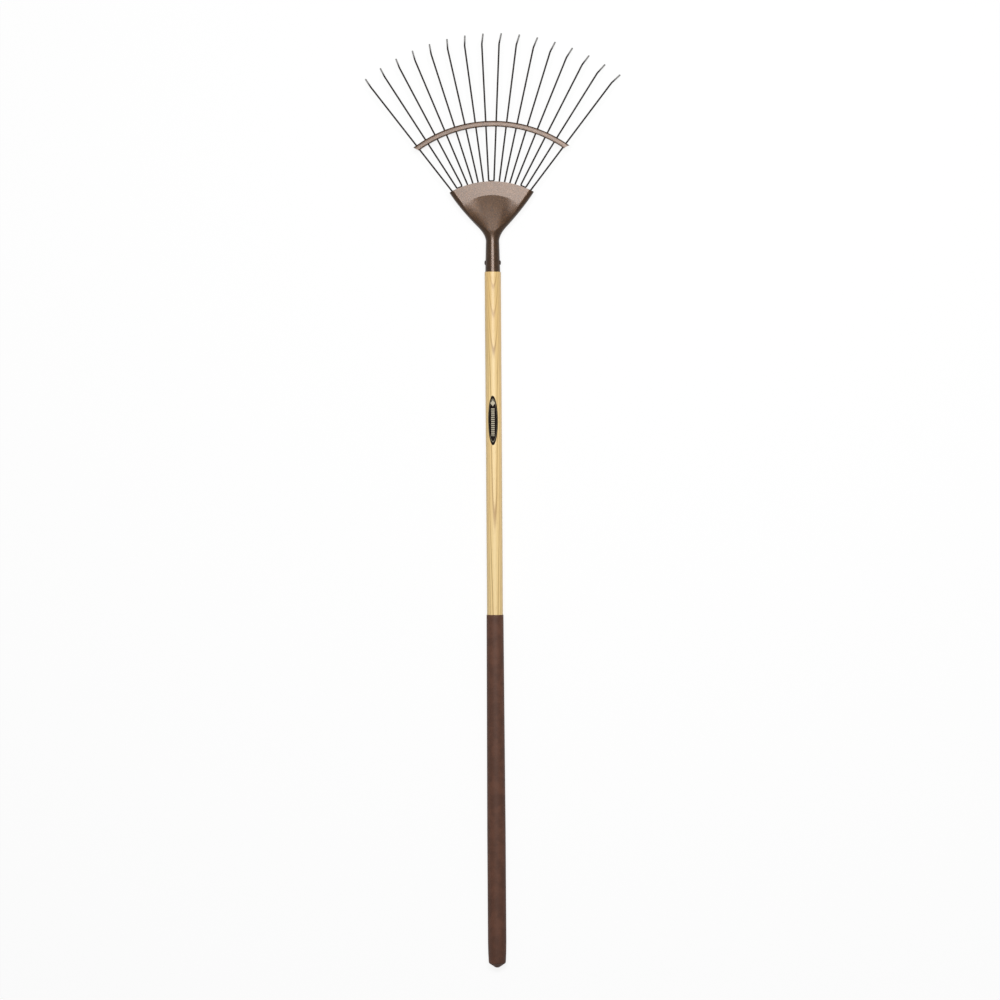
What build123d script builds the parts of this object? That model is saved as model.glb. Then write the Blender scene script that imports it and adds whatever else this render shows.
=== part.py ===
from build123d import *
import os
from math import asin, cos, radians, sin, sqrt

# Spring-tine rake, lying on the floor with its tine tips down, millimetres.
# +Y runs along the shaft towards the head, +X to the right, +Z up. The origin is on the floor under
# the middle of the rake. A "station" is a distance from the butt end along the shaft. A "reach" is a
# distance ahead of the fan centre, the point on the shaft line that all tines point away from.

# ---- driving dimensions -----------------------------------------------------------------------

# handle
GRIP_RADIUS = 15.15           # outside of the sleeve over its straight butt length
GRIP_STRAIGHT_LENGTH = 224.0  # station where the sleeve starts to taper
SLEEVE_LENGTH = 579.0         # station of the sleeve's upper edge
SLEEVE_TOP_RADIUS = 13.9
SLEEVE_WALL = 0.85
NOSE_LENGTH = 14.0            # length of the coned butt end
NOSE_FLAT_RADIUS = 6.0        # flat on the end of the cone, before rounding
NOSE_SHOULDER_ROUND = 16.0
NOSE_END_ROUND = 5.0
SHAFT_HEAD_RADIUS = 13.4      # wood beside the socket mouth
SHOULDER_ROUND = 0.8
TENON_LENGTH = 77.0           # wood inside the socket
TENON_CLEARANCE = 0.05
LABEL_STATION = 898.0
LABEL_LENGTH = 81.0
LABEL_WIDTH = 16.0
LABEL_FILM = 0.25
LABEL_GLUE = 0.05             # under the film

# socket and head pressing
SHEET = 1.5                   # thickness of the pressed steel
SOCKET_MOUTH_STATION = 1142.0
SOCKET_MOUTH_RADIUS = 12.35
SOCKET_LENGTH = 52.0          # mouth to neck, where the sheet starts to spread
NECK_RADIUS = 10.95
NECK_TO_FAN_CENTRE = 3.5      # the fan centre lies this far short of the neck
SIDE_REACH = 27.6             # where the sides leave the neck's curve
SIDE_HALF_WIDTH = 25.9        # half width of the head there
SIDE_SLOPE = 0.972            # gain of half width with reach there
SIDE_CURVE = 0.00297          # the sides turn forward by this much, squared with reach
NECK_BLEND = 13.0             # how far, in half-width, the neck's curve reaches into the sides
EDGE_HEIGHT = 13.0            # height over the rolled sides at the lip
LIP_REACH = 99.2              # front edge of the head, on the shaft line
LIP_ARC = 145.2               # radius of the front edge, flatter than an arc about the fan centre
CREASE_RADIUS = 76.6          # rear edge of the level band over the tine roots
CREASE_HALF_ANGLE = 34.0
DISH_SHOULDER = 18.0          # length of the steeper start of the dish, behind the crease
DISH_SHOULDER_DROP = 2.4
BAND_LEVEL_REACH = 55.0       # the band is level with the tines from here on
BACK_GAP_SIDE = 1.0           # rolled side left beside the open back, in edge radii
NECK_SLICES = 5               # slices over the neck's curve
LEAST_FLAT = 0.3              # flat left at the top of a round slice

# back plate
BACK_PLATE = 1.5
BACK_PLATE_CLEARANCE = 0.35
BACK_PLATE_INNER_RADIUS = 79.5
BACK_PLATE_SETBACK = 0.8      # behind the lip

# rivet
RIVET_FROM_MOUTH = 15.0
RIVET_RADIUS = 2.5
RIVET_HEAD_RADIUS = 3.8
RIVET_HEAD_HEIGHT = 1.7
RIVET_CLEARANCE = 0.1         # round the shank and under the heads

# tines
TINE_COUNT = 16
FAN_HALF_ANGLE = 37.65        # outermost tine, from the shaft line
WIRE_RADIUS = 1.4
ROOT_RADIUS = 86.0            # where a single tine turns down through the back plate
ROOT_DROP = 6.5
ROOT_BEND = 2.5
ROOT_CLEARANCE = 1.2          # room for the roots to rock between plate and band
ROOT_HOLE_CLEARANCE = 0.6
ELBOW_RADIUS = 325.0          # where the tip turns down
TIP_LENGTH = 33.0
TIP_ANGLE = 54.0
TIP_BEND = 5.0
HAIRPIN_PAST_LIP = 0.7        # middle of a hairpin's bend, ahead of the lip
HAIRPIN_BEND = 2.6
HAIRPIN_FIRST_TINES = (2, 8, 14)
HAIRPIN_NAMES = ("left", "centre", "right")

# brace
BRACE_REACH = 198.5           # outer edge on the shaft line
BRACE_ARC = 217.7             # radius of the outer edge
BRACE_WIDTH = 9.2
BRACE_SHEET = 1.2
BRACE_HEIGHT = 7.4
BRACE_HALF_ANGLE = 39.4       # outer edge, about the fan centre
BRACE_END_BEVEL = 1.2         # the inner edge stops this many degrees sooner
BRACE_WIRE_CLEARANCE = 0.1
BRACE_HOLE_CLEARANCE = 0.12

# ---- values that follow from them -------------------------------------------------------------

TINE_PITCH = 2 * FAN_HALF_ANGLE / (TINE_COUNT - 1)
NECK_STATION = SOCKET_MOUTH_STATION + SOCKET_LENGTH
FAN_STATION = NECK_STATION - NECK_TO_FAN_CENTRE
TIP_REACH = TIP_LENGTH * cos(radians(TIP_ANGLE))
TIP_DROP = TIP_LENGTH * sin(radians(TIP_ANGLE))
TIP_END_RADIUS = ELBOW_RADIUS + TIP_REACH

# the tine nearest the shaft line reaches furthest forward, by its end face's upper rim
MIDDLE_TINE = radians(TINE_PITCH / 2 if TINE_COUNT % 2 == 0 else 0)
TIP_FORWARD = cos(radians(TIP_ANGLE)) * cos(MIDDLE_TINE)
FRONT_STATION = FAN_STATION + TIP_END_RADIUS * cos(MIDDLE_TINE) + WIRE_RADIUS * sqrt(1 - TIP_FORWARD ** 2)

# the grip and the lower rim of each tip's end face touch the floor
AXIS_Z = GRIP_RADIUS
TINE_Z = TIP_DROP + WIRE_RADIUS * cos(radians(TIP_ANGLE))
BAND_TOP_Z = TINE_Z + WIRE_RADIUS + ROOT_CLEARANCE + SHEET
BACK_PLATE_TOP_Z = TINE_Z - WIRE_RADIUS - ROOT_CLEARANCE
FAR = 400.0                   # longer than any cut needs
HEAD_FRONT = 1.25 * LIP_REACH  # the head's slices run past every point of the lip

SHAFT_SLEEVE_RADIUS = SLEEVE_TOP_RADIUS - SLEEVE_WALL


def along(station):
    """Y of a station."""
    return station - FRONT_STATION / 2


FAN_Y = along(FAN_STATION)


def turned(points, rounds=()):
    """Solid of revolution about the shaft line from (radius, station) points; rounds are
    (point index, radius) pairs."""
    outline = make_face(Polyline(*points, close=True))
    for index, radius in rounds:
        corner = outline.vertices().sort_by_distance((*points[index], 0))[0]
        outline = fillet(corner, radius)
    return Pos(0, along(0), AXIS_Z) * revolve(outline, Axis.Y)


def socket_radius(station):
    """Outside radius of the socket cone."""
    share = (station - SOCKET_MOUTH_STATION) / SOCKET_LENGTH
    return SOCKET_MOUTH_RADIUS + (NECK_RADIUS - SOCKET_MOUTH_RADIUS) * share


def tenon_radius(station):
    """Radius of the wood inside the socket."""
    return socket_radius(station) - SHEET - TENON_CLEARANCE


def shaft_radius(station):
    """Radius of the bare wood between sleeve and socket."""
    share = (station - SLEEVE_LENGTH) / (SOCKET_MOUTH_STATION - SLEEVE_LENGTH)
    return SHAFT_SLEEVE_RADIUS + (SHAFT_HEAD_RADIUS - SHAFT_SLEEVE_RADIUS) * share


# ---- handle -----------------------------------------------------------------------------------


def butt_points(inset):
    """Coned butt, straight grip and taper up to the sleeve's edge, drawn inset from its outside."""
    return [
        (0, inset),
        (NOSE_FLAT_RADIUS, inset),
        (GRIP_RADIUS - inset, NOSE_LENGTH),
        (GRIP_RADIUS - inset, GRIP_STRAIGHT_LENGTH),
        (SLEEVE_TOP_RADIUS - inset, SLEEVE_LENGTH),
    ]


def butt_rounds(inset):
    return [(2, NOSE_SHOULDER_ROUND - inset), (1, NOSE_END_ROUND - inset)]


def make_shaft():
    tenon_end = SOCKET_MOUTH_STATION + TENON_LENGTH
    points = butt_points(SLEEVE_WALL)
    shoulder = len(points)
    points += [
        (SHAFT_HEAD_RADIUS, SOCKET_MOUTH_STATION),
        (tenon_radius(SOCKET_MOUTH_STATION), SOCKET_MOUTH_STATION),
        (tenon_radius(tenon_end), tenon_end),
        (0, tenon_end),
    ]
    return turned(points, butt_rounds(SLEEVE_WALL) + [(shoulder, SHOULDER_ROUND)]) - rivet_hole()


def make_sleeve(shaft):
    outside = turned(butt_points(0) + [(0, SLEEVE_LENGTH)], butt_rounds(0))
    return outside - shaft


def make_label():
    ends = (LABEL_STATION - LABEL_LENGTH, LABEL_STATION + LABEL_LENGTH)

    def pole(extra):
        return turned([(0, ends[0])] + [(shaft_radius(s) + extra, s) for s in ends] + [(0, ends[1])])

    oval = Pos(0, along(LABEL_STATION), AXIS_Z) * Ellipse(LABEL_WIDTH / 2, LABEL_LENGTH / 2)
    return (pole(LABEL_GLUE + LABEL_FILM) - pole(LABEL_GLUE)) & extrude(oval, 2 * GRIP_RADIUS)


# ---- rivet ------------------------------------------------------------------------------------

RIVET_STATION = SOCKET_MOUTH_STATION + RIVET_FROM_MOUTH
RIVET_SEAT = socket_radius(RIVET_STATION)


def cross_rod(radius, half_length):
    return Pos(0, along(RIVET_STATION), AXIS_Z) * Rot(0, 90, 0) * Cylinder(radius, 2 * half_length)


def rivet_hole():
    return cross_rod(RIVET_RADIUS + RIVET_CLEARANCE, FAR)


def make_rivet():
    """Shank with a domed head on each side. Each head is a cap cut from a sphere, hollowed underneath
    to fit round the socket it seats on."""
    tip = RIVET_SEAT + RIVET_HEAD_HEIGHT
    dome = (RIVET_HEAD_RADIUS ** 2 + RIVET_HEAD_HEIGHT ** 2) / (2 * RIVET_HEAD_HEIGHT)
    ball = Pos(0, along(RIVET_STATION), AXIS_Z) * Sphere(dome)
    heads = []
    for side in (-1, 1):
        cap = Pos(side * (tip - dome), 0, 0) * ball
        heads.append(cap & cross_rod(RIVET_HEAD_RADIUS, tip))
    seat = turned([
        (0, SOCKET_MOUTH_STATION),
        (SOCKET_MOUTH_RADIUS + RIVET_CLEARANCE, SOCKET_MOUTH_STATION),
        (NECK_RADIUS + RIVET_CLEARANCE, NECK_STATION),
        (0, NECK_STATION),
    ])
    return (heads[0] + heads[1] - seat) + cross_rod(RIVET_RADIUS, RIVET_SEAT)


# ---- head pressing ----------------------------------------------------------------------------


def side_line(reach):
    """Half width along the sides, a shallow parabola, and its slope."""
    past = reach - SIDE_REACH
    return SIDE_HALF_WIDTH + SIDE_SLOPE * past - SIDE_CURVE * past ** 2, SIDE_SLOPE - 2 * SIDE_CURVE * past


def half_width(reach):
    """Half width of the head: the socket's radius, then a parabola, then the side."""
    if reach <= NECK_TO_FAN_CENTRE:
        return socket_radius(FAN_STATION + reach)
    side, _ = side_line(reach)
    over = side - NECK_RADIUS
    if over <= -NECK_BLEND:
        return NECK_RADIUS
    if over >= NECK_BLEND:
        return side
    return NECK_RADIUS + (over + NECK_BLEND) ** 2 / (4 * NECK_BLEND)


def side_slope(reach):
    side, slope = side_line(reach)
    share = (side - NECK_RADIUS + NECK_BLEND) / (2 * NECK_BLEND)
    return slope * min(max(share, 0), 1)


def spread(reach):
    """How far the head has flattened: 0 up to the neck, 1 where the band is level."""
    share = (reach - NECK_TO_FAN_CENTRE) / (BAND_LEVEL_REACH - NECK_TO_FAN_CENTRE)
    return min(max(share, 0), 1)


def top_z(reach):
    """Height of the head's top along the shaft line: the socket's, rising, level over the roots."""
    round_top = AXIS_Z + half_width(min(reach, NECK_TO_FAN_CENTRE))
    return round_top + (BAND_TOP_Z - round_top) * spread(reach)


def edge_radius(reach):
    """Radius of the rolled sides: the socket's at the neck, half the edge height at the lip."""
    round_side = half_width(min(reach, NECK_TO_FAN_CENTRE))
    return round_side + (EDGE_HEIGHT / 2 - round_side) * spread(reach)


def spread_reaches():
    """Where the head is sliced from the neck on: closely over the neck's curve, then along the sides."""
    step = (SIDE_REACH - NECK_TO_FAN_CENTRE) / NECK_SLICES
    blend = [NECK_TO_FAN_CENTRE + step * i for i in range(1, NECK_SLICES + 1)]
    halfway = (SIDE_REACH + BAND_LEVEL_REACH) / 2
    return blend + [halfway, BAND_LEVEL_REACH, CREASE_RADIUS, LIP_REACH, HEAD_FRONT]


def head_section(reach, inset):
    """Slice across the head: flat top with half-round sides, drawn inset by a wall."""
    radius = edge_radius(reach)
    side_inset = inset * sqrt(1 + side_slope(reach) ** 2)
    width = 2 * (half_width(reach) - side_inset)
    height = 2 * (radius - inset)
    corner = (min(width, height) - LEAST_FLAT) / 2
    plane = Plane((0, FAN_Y + reach, top_z(reach) - radius), x_dir=(1, 0, 0), z_dir=(0, -1, 0))
    return plane * RectangleRounded(width, height, corner)


def arc_distance(angle, reach, radius):
    """Distance from the fan centre, along a tine's direction, to an arc that crosses the shaft line
    at a reach and has its own centre on that line."""
    behind = radius - reach
    turn = radians(angle)
    return sqrt(radius ** 2 - (behind * sin(turn)) ** 2) - behind * cos(turn)


def lip_disc(setback):
    """All that lies behind the lip, or behind a line set back from it."""
    return Pos(0, FAN_Y + LIP_REACH - LIP_ARC, 0) * Circle(LIP_ARC - setback)


def fan_sector(radius, half_angle, grow=0.0):
    """Flat sector about the fan centre, grown by a width on all sides."""
    apex = grow / sin(radians(half_angle))
    reach = radius + grow
    turn = radians(half_angle) + asin(grow / reach)
    left = (-reach * sin(turn), reach * cos(turn))
    right = (-left[0], left[1])
    outline = Polyline((0, -apex), left) + ThreePointArc(left, (0, reach), right) + Line(right, (0, -apex))
    return Pos(0, FAN_Y, 0) * make_face(outline)


def dish_floor():
    """Floor of the dish as (distance from the fan centre, height): from the socket's top, then
    steeper up to the crease."""
    start = AXIS_Z + NECK_RADIUS
    shoulder = (CREASE_RADIUS - DISH_SHOULDER, BAND_TOP_Z - DISH_SHOULDER_DROP)
    slope = (shoulder[1] - start) / (shoulder[0] - NECK_TO_FAN_CENTRE)
    return [(0, start - slope * NECK_TO_FAN_CENTRE), shoulder, (CREASE_RADIUS, BAND_TOP_Z)]


def dish_cut(inset):
    """What the dish takes from the top: a sector behind the crease, above a floor turned about the
    fan centre."""
    floor = [(distance, height - inset) for distance, height in dish_floor()]
    plane = Plane((0, FAN_Y, 0), x_dir=(1, 0, 0), z_dir=(0, -1, 0))
    outline = Polyline(*floor, (CREASE_RADIUS, FAR), (0, FAR), close=True)
    above_floor = revolve(plane * make_face(outline), Axis((0, FAN_Y, 0), (0, 0, 1)), 360)
    return above_floor & extrude(fan_sector(CREASE_RADIUS, CREASE_HALF_ANGLE, inset), FAR)


def head_form(inset):
    """The outer form of socket and head in one, or its inside when inset by the sheet."""
    mouth = NECK_TO_FAN_CENTRE - SOCKET_LENGTH - inset
    reaches = [mouth, NECK_TO_FAN_CENTRE] + spread_reaches()
    sections = [head_section(reach, inset) for reach in reaches]
    form = None
    for near, far in zip(sections, sections[1:]):
        piece = loft([near, far], ruled=True)
        form = piece if form is None else form + piece
    return form - dish_cut(inset)


def back_gap():
    """The open back: between the rolled sides, from just ahead of the neck to the lip."""
    reaches = spread_reaches()[1:]
    outline = [(half_width(r) - BACK_GAP_SIDE * edge_radius(r), r) for r in reaches]
    points = [(0, NECK_TO_FAN_CENTRE + SHEET)] + outline
    points += [(-x, r) for x, r in reversed(outline)]
    face = Pos(0, FAN_Y, 0) * make_face(Polyline(*points, close=True))
    return extrude(face, AXIS_Z + NECK_RADIUS - 2 * SHEET)


def make_head():
    relief_end = SOCKET_MOUTH_STATION + TENON_LENGTH + SHEET
    tenon_relief = turned([
        (0, NECK_STATION),
        (tenon_radius(NECK_STATION) + TENON_CLEARANCE / 2, NECK_STATION),
        (tenon_radius(relief_end) + TENON_CLEARANCE / 2, relief_end),
        (0, relief_end),
    ])
    head = head_form(0) - head_form(SHEET) - tenon_relief - back_gap() - rivet_hole()
    return head & extrude(lip_disc(0), FAR)


# ---- back plate -------------------------------------------------------------------------------


def make_back_plate():
    """Plate under the roots, reaching into the rolled sides, with a hole for each single tine."""
    inset = SHEET + BACK_PLATE_CLEARANCE
    reaches = spread_reaches()[-5:]
    right = [(half_width(r) - inset * sqrt(1 + side_slope(r) ** 2), r) for r in reaches]
    left = [(-x, y) for x, y in reversed(right)]
    between_sides = Pos(0, FAN_Y, 0) * make_face(Polyline(*right, *left, close=True))
    plate = between_sides & lip_disc(BACK_PLATE_SETBACK)
    plate -= Pos(0, FAN_Y, 0) * Circle(BACK_PLATE_INNER_RADIUS)
    for index in single_tines():
        angle = radians(tine_angle(index))
        place = Pos(ROOT_RADIUS * sin(angle), FAN_Y + ROOT_RADIUS * cos(angle), 0)
        plate -= place * Circle(WIRE_RADIUS + ROOT_HOLE_CLEARANCE)
    return extrude(Pos(0, 0, BACK_PLATE_TOP_Z - BACK_PLATE) * plate, BACK_PLATE)


# ---- tines ------------------------------------------------------------------------------------


def tine_angle(index):
    """Angle of a tine from the shaft line, counted from 1 at the left; positive is to the right."""
    return -FAN_HALF_ANGLE + TINE_PITCH * (index - 1)


def single_tines():
    paired = set(HAIRPIN_FIRST_TINES) | {first + 1 for first in HAIRPIN_FIRST_TINES}
    return [index for index in range(1, TINE_COUNT + 1) if index not in paired]


def wire(points, bends):
    """Round wire along straight runs joined by bends."""
    path = FilletPolyline(*points, radius=bends)
    start = Plane(origin=path @ 0, z_dir=path % 0)
    return sweep(start * Circle(WIRE_RADIUS), path=path)


def spoke_point(radius, height, angle):
    """Point at a radius from the fan centre, on the line of a tine."""
    turn = radians(angle)
    return (radius * sin(turn), FAN_Y + radius * cos(turn), TINE_Z + height)


def make_single_tine(index):
    angle = tine_angle(index)
    points = [
        spoke_point(ROOT_RADIUS, -ROOT_DROP, angle),
        spoke_point(ROOT_RADIUS, 0, angle),
        spoke_point(ELBOW_RADIUS, 0, angle),
        spoke_point(TIP_END_RADIUS, -TIP_DROP, angle),
    ]
    return wire(points, [ROOT_BEND, TIP_BEND])


def make_hairpin(first):
    left = tine_angle(first)
    right = tine_angle(first + 1)
    bends = [arc_distance(angle, LIP_REACH, LIP_ARC) + HAIRPIN_PAST_LIP for angle in (left, right)]
    points = [
        spoke_point(TIP_END_RADIUS, -TIP_DROP, left),
        spoke_point(ELBOW_RADIUS, 0, left),
        spoke_point(bends[0], 0, left),
        spoke_point(bends[1], 0, right),
        spoke_point(ELBOW_RADIUS, 0, right),
        spoke_point(TIP_END_RADIUS, -TIP_DROP, right),
    ]
    return wire(points, [TIP_BEND, HAIRPIN_BEND, HAIRPIN_BEND, TIP_BEND])


# ---- brace ------------------------------------------------------------------------------------


def plan_point(distance, angle):
    """Point of the plan at a distance and angle from the fan centre."""
    return Vector(distance * sin(radians(angle)), distance * cos(radians(angle)))


def brace_ends():
    """Sector that the brace keeps: its sides lie along the bevelled ends and meet on the shaft line."""
    outer_radius = arc_distance(BRACE_HALF_ANGLE, BRACE_REACH, BRACE_ARC)
    outer = plan_point(outer_radius, BRACE_HALF_ANGLE)
    inner = plan_point(outer_radius - BRACE_WIDTH, BRACE_HALF_ANGLE - BRACE_END_BEVEL)
    run = (outer - inner).normalized()
    apex = inner - run * (inner.X / run.X)
    right = apex + run * FAR
    return make_face(Polyline(apex, right, (-right.X, right.Y), close=True))


def brace_block(outer, inner, top, height):
    """Curved bar between two radii of the brace's own arc, with bevelled ends."""
    ring = Pos(0, BRACE_REACH - BRACE_ARC) * (Circle(outer) - Circle(inner)) & brace_ends()
    return extrude(Pos(0, FAN_Y, top - height) * ring, height)


def make_brace():
    """Channel with its web on top; each tine passes through a hole in both walls."""
    top = TINE_Z + WIRE_RADIUS + BRACE_WIRE_CLEARANCE + BRACE_SHEET
    inner_arc = BRACE_ARC - BRACE_WIDTH
    bar = brace_block(BRACE_ARC, inner_arc, top, BRACE_HEIGHT)
    bar -= brace_block(BRACE_ARC - BRACE_SHEET, inner_arc + BRACE_SHEET, top - BRACE_SHEET, FAR)
    for index in range(1, TINE_COUNT + 1):
        start = spoke_point(LIP_REACH, 0, tine_angle(index))
        spoke = Plane(start, z_dir=Vector(spoke_point(ELBOW_RADIUS, 0, tine_angle(index))) - Vector(start))
        bar -= extrude(spoke * Circle(WIRE_RADIUS + BRACE_HOLE_CLEARANCE), ELBOW_RADIUS - LIP_REACH)
    return bar


# ---- build and write --------------------------------------------------------------------------


def build_nodes():
    shaft = make_shaft()
    nodes = {
        "ash_shaft": shaft,
        "grip_sleeve": make_sleeve(shaft),
        "handle_label": make_label(),
        "socket_rivet": make_rivet(),
        "head_pressing": make_head(),
        "back_plate": make_back_plate(),
        "brace_bar": make_brace(),
    }
    for name, first in zip(HAIRPIN_NAMES, HAIRPIN_FIRST_TINES):
        nodes[f"hairpin_{name}"] = make_hairpin(first)
    for index in single_tines():
        nodes[f"tine_{index:02d}"] = make_single_tine(index)
    return nodes


NODES = build_nodes()

os.makedirs("parts", exist_ok=True)
for node_name, node_shape in NODES.items():
    export_step(node_shape, f"parts/{node_name}.step")
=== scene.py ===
import bpy
import numpy as np
from mathutils import Matrix, Vector


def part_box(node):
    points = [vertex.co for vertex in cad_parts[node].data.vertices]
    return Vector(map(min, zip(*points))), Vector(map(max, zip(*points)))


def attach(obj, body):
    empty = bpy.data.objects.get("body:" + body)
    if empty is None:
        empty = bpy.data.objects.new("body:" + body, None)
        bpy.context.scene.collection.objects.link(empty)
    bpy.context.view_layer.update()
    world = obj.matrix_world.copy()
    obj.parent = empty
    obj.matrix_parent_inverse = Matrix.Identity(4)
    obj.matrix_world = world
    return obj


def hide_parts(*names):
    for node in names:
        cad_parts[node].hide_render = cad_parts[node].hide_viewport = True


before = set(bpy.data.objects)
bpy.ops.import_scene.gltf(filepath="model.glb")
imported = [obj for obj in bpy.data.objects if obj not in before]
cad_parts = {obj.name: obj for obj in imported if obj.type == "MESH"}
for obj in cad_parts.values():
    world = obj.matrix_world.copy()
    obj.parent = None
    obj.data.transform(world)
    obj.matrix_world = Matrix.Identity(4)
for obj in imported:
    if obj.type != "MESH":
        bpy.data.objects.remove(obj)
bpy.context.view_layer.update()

# Spring-tine rake lying on a pale floor with its tine tips down, in metres. +Y runs along the shaft
# towards the head, +X to the right, +Z up. A "reach" is a distance ahead of the fan centre, the point
# on the shaft line that all tines point away from.

HANDLE = "handle_and_head"
ROW = "tine_row"

# ---- sizes, read off the parts of model.glb -----------------------------------------------------

sleeve_low, sleeve_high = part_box("grip_sleeve")
shaft_low, shaft_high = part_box("ash_shaft")
head_low, head_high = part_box("head_pressing")
label_low, label_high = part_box("handle_label")
rivet_low, rivet_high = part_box("socket_rivet")
brace_low, brace_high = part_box("brace_bar")
_, single_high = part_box("tine_01")

GRIP_RADIUS = (sleeve_high.x - sleeve_low.x) / 2
AXIS_Z = (sleeve_high.z + sleeve_low.z) / 2
BUTT_Y = sleeve_low.y
SLEEVE_TOP_Y = sleeve_high.y
SLEEVE_WALL = shaft_low.y - sleeve_low.y
MOUTH_Y = head_low.y
TENON_END_Y = shaft_high.y
BAND_TOP_Z = head_high.z
LABEL_Y = (label_low.y + label_high.y) / 2
LABEL_HALF_LENGTH = (label_high.y - label_low.y) / 2
LABEL_HALF_WIDTH = (label_high.x - label_low.x) / 2
RIVET_Y = (rivet_low.y + rivet_high.y) / 2
RIVET_RADIUS = (rivet_high.z - rivet_low.z) / 2

# ---- sizes of the object's own features ---------------------------------------------------------

GRIP_STRAIGHT = 0.224         # from the butt to where the sleeve starts to taper
SLEEVE_TOP_RADIUS = 0.0139
LEAST_RADIUS = 0.0005         # turned profiles start and end this far from the shaft line
NOSE_OUTLINE = [              # radius and distance from the butt: shallow cone, then a slight swell
    (LEAST_RADIUS, 0.0), (0.0028, 0.0), (0.0140, 0.0074), (0.0148, 0.0240),
]
NOSE_BENDS = [0.0020, 0.0040, 0.15]
NOSE_LENGTH = 0.042           # where the grip reaches its full radius
GRIP_BENDS = [0.3, 1.0]       # at the end of the nose, and where the taper starts
RIM_ROUND = 0.45              # rounding of the sleeve's upper edge, in wall thicknesses
SHAFT_HEAD_RADIUS = 0.0134
SHOULDER_ROUND = 0.0008
SHOULDER_GAP = 0.00002        # the wood's shoulder stops this short of the socket's mouth
TENON_CLEARANCE = 0.00005
TENON_ROOT_ROUND = 0.0002
TENON_END_ROUND = 0.0006
RING_GAP = 0.02               # rings along the pole are no further apart
LABEL_UNDERSIDE = 0.00003     # heights of the film's two faces over the wood
LABEL_TOP = 0.00028
LABEL_RINGS, LABEL_SIDES = 26, 120
SHEET = 0.0015
SOCKET_MOUTH_RADIUS = 0.01235
SOCKET_LENGTH = 0.052
NECK_RADIUS = 0.01095
NECK_REACH = 0.0035
NECK_BLEND = 0.013
SIDE_REACH = 0.0276           # where the head's sides leave the neck's curve
SIDE_HALF_WIDTH = 0.0259
SIDE_SLOPE = 0.972
SIDE_CURVE = 2.97             # the sides turn forward by this much, squared with reach
EDGE_HEIGHT = 0.013
LIP_REACH = 0.0992
LIP_ARC = 0.1452
CREASE_RADIUS = 0.0766        # rear edge of the level band over the tine roots
DISH_FALL = 0.0566            # slope of the dish's floor
DISH_STEP = 0.00135           # what the floor drops more, behind the middle of the crease
DISH_STEP_RUN = 0.031
SIDE_FALL_LEFT = 0.082        # slopes of the dish near its two sides; pressed a little askew
SIDE_FALL_RIGHT = 0.056
SIDE_START = 0.006            # how softly those begin
SIDE_TURN = np.radians([15, 34])     # angles from the shaft line where side forms begin and are full
SIDE_FADE = (0.016, 0.050)    # distances behind the crease over which the middle's form takes over
SKEW_HALF_WIDTH = 0.012       # half of the strip over which the left fall becomes the right one
SOCKET_TO_DISH = (NECK_REACH, 0.020)     # reaches over which the socket's top becomes the dish
BAND_LEVEL_REACH = 0.055
FUNNEL_START = (0.004, 0.034)        # reaches over which the round neck gets turned-down sides
BESIDE_BAND = (0.045, 0.068)  # reaches over which those of the funnel become those of the band
FLANGE_WIDTH = 0.0105         # full width of the turned-down sides
FLANGE_SHARE = 0.62           # the part of it that they take up on the funnel
FLANGE_GAIN = 0.34            # and the part that they gain beside the band
FLANGE_DROP = 0.0088
FLANGE_SHARPNESS = 0.3        # taken off the power of 2 that a round bend has
SHOULDER_DROP = 0.0026        # gentle fall of the funnel's top towards its sides
SHOULDER_START = (0.006, 0.028)      # reaches over which that fall comes in
SHOULDER_FADE = (0.020, 0.070)       # and over which it goes again
SHOULDER_FLAT = 0.1           # share of the half width that it leaves level
TOP_SHARE = 0.74              # share of a slice's points that lie above its widest place
SEAM = 0.0035                 # share of a slice left open under the socket, at each edge
HEAD_COLUMNS = 300
HEAD_ROWS = (30, 90, 70, 30)  # on the socket, on the dish, at the crease and on the band
CREASE_BEFORE = 0.007         # the closely spaced rows start this far behind the crease
CREASE_AFTER = 0.004          # and end this far ahead of it
ROW_BEND = (0.008, 0.060)     # reaches over which the rows of points come to bend
LONGEST_REACH = 1.3           # no point lies further out than this many lip reaches
HALVINGS = 44
RIVET_HEAD_HEIGHT = 0.0017
RIVET_DOME_START = np.radians(8)     # angle of a dome's first ring from its pole
RIVET_DOME_RINGS, RIVET_SIDES = 12, 40
RIVET_SHANK = 0.6             # radius of the shank, in head radii
RIVET_SINK = 0.0004           # how far the skirt of a head goes under its seat
TINE_COUNT = 16
FAN_HALF_ANGLE = np.radians(37.65)
WIRE_RADIUS = 0.0014
WIRE_END_RADIUS = 0.7         # a wire's ends, in wire radii
WIRE_END_LENGTH = 0.3         # and the length over which they narrow
WIRE_SIDES = 20
ROOT_RADIUS = 0.086
ROOT_DROP = 0.0065
ROOT_BEND = 0.0025
ELBOW_RADIUS = 0.325
TIP_LENGTH = 0.033
TIP_ANGLE = np.radians(54.0)
TIP_BEND = 0.005
HAIRPIN_PAST_LIP = 0.0007
HAIRPIN_BEND = 0.0026
HAIRPINS = {"left": 2, "centre": 8, "right": 14}
BRACE_REACH = 0.1985
BRACE_ARC = 0.2177
BRACE_WIDTH = 0.0092
BRACE_SHEET = 0.0012
BRACE_HALF_ANGLE = np.radians(39.4)
BRACE_END_BEVEL = np.radians(1.2)
BRACE_OUTER_ROUND = 0.0020
BRACE_INNER_ROUND = 0.0014
BRACE_EDGE = 0.0003
BRACE_SLICES = 180

FAN_Y = MOUTH_Y + SOCKET_LENGTH - NECK_REACH
TINE_Z = single_high.z - WIRE_RADIUS
SHAFT_SLEEVE_RADIUS = SLEEVE_TOP_RADIUS - SLEEVE_WALL


# ---- making meshes ------------------------------------------------------------------------------


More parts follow.
